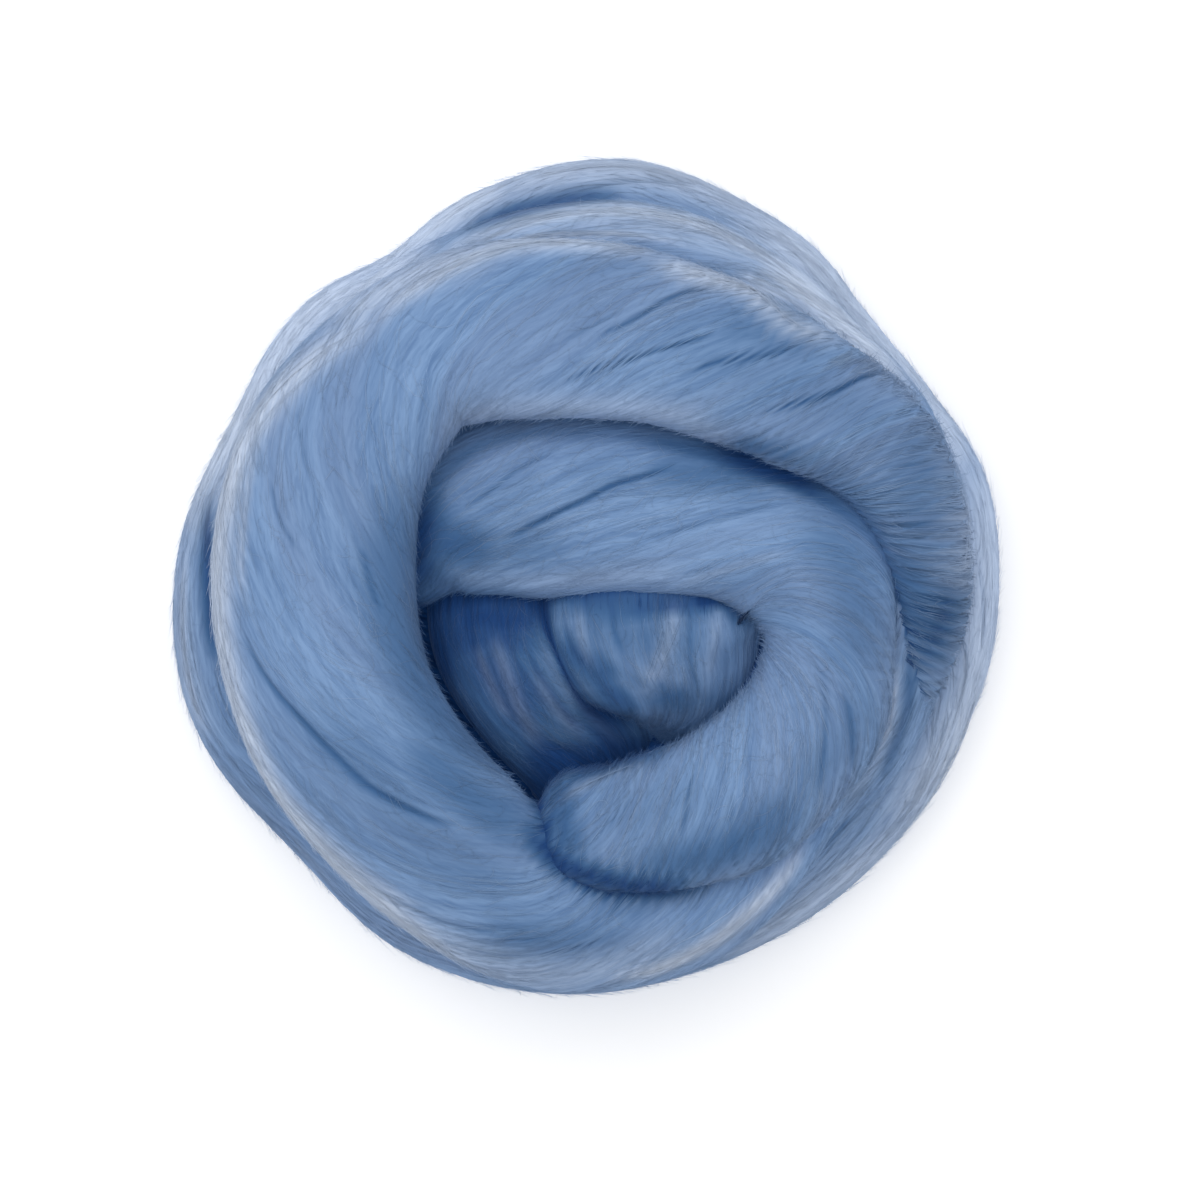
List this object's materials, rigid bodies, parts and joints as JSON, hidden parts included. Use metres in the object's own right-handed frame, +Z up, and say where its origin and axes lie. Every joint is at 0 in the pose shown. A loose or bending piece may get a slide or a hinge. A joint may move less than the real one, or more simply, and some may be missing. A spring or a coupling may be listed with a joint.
{
  "type": "wool roving nest",
  "caption": "Nest of soft, lightly twisted combed wool roving, wound in broad overlapping laps round an off-centre hollow with a tucked inner end.",
  "frame": {"origin": "on the table under the middle of the nest", "axes": "+Z up out of the hollow, +Y towards the top of the view from above, +X to the right in that view, on the side where the top lap dives down"},
  "size_m": [0.1242, 0.1254, 0.0569],
  "materials": {
    "wool": "soft brushed wool fibre, matt with a faint sheen along the fibres"
  },
  "bodies": {
    "root": {"roving_nest": "wool"}
  },
  "joints": []
}
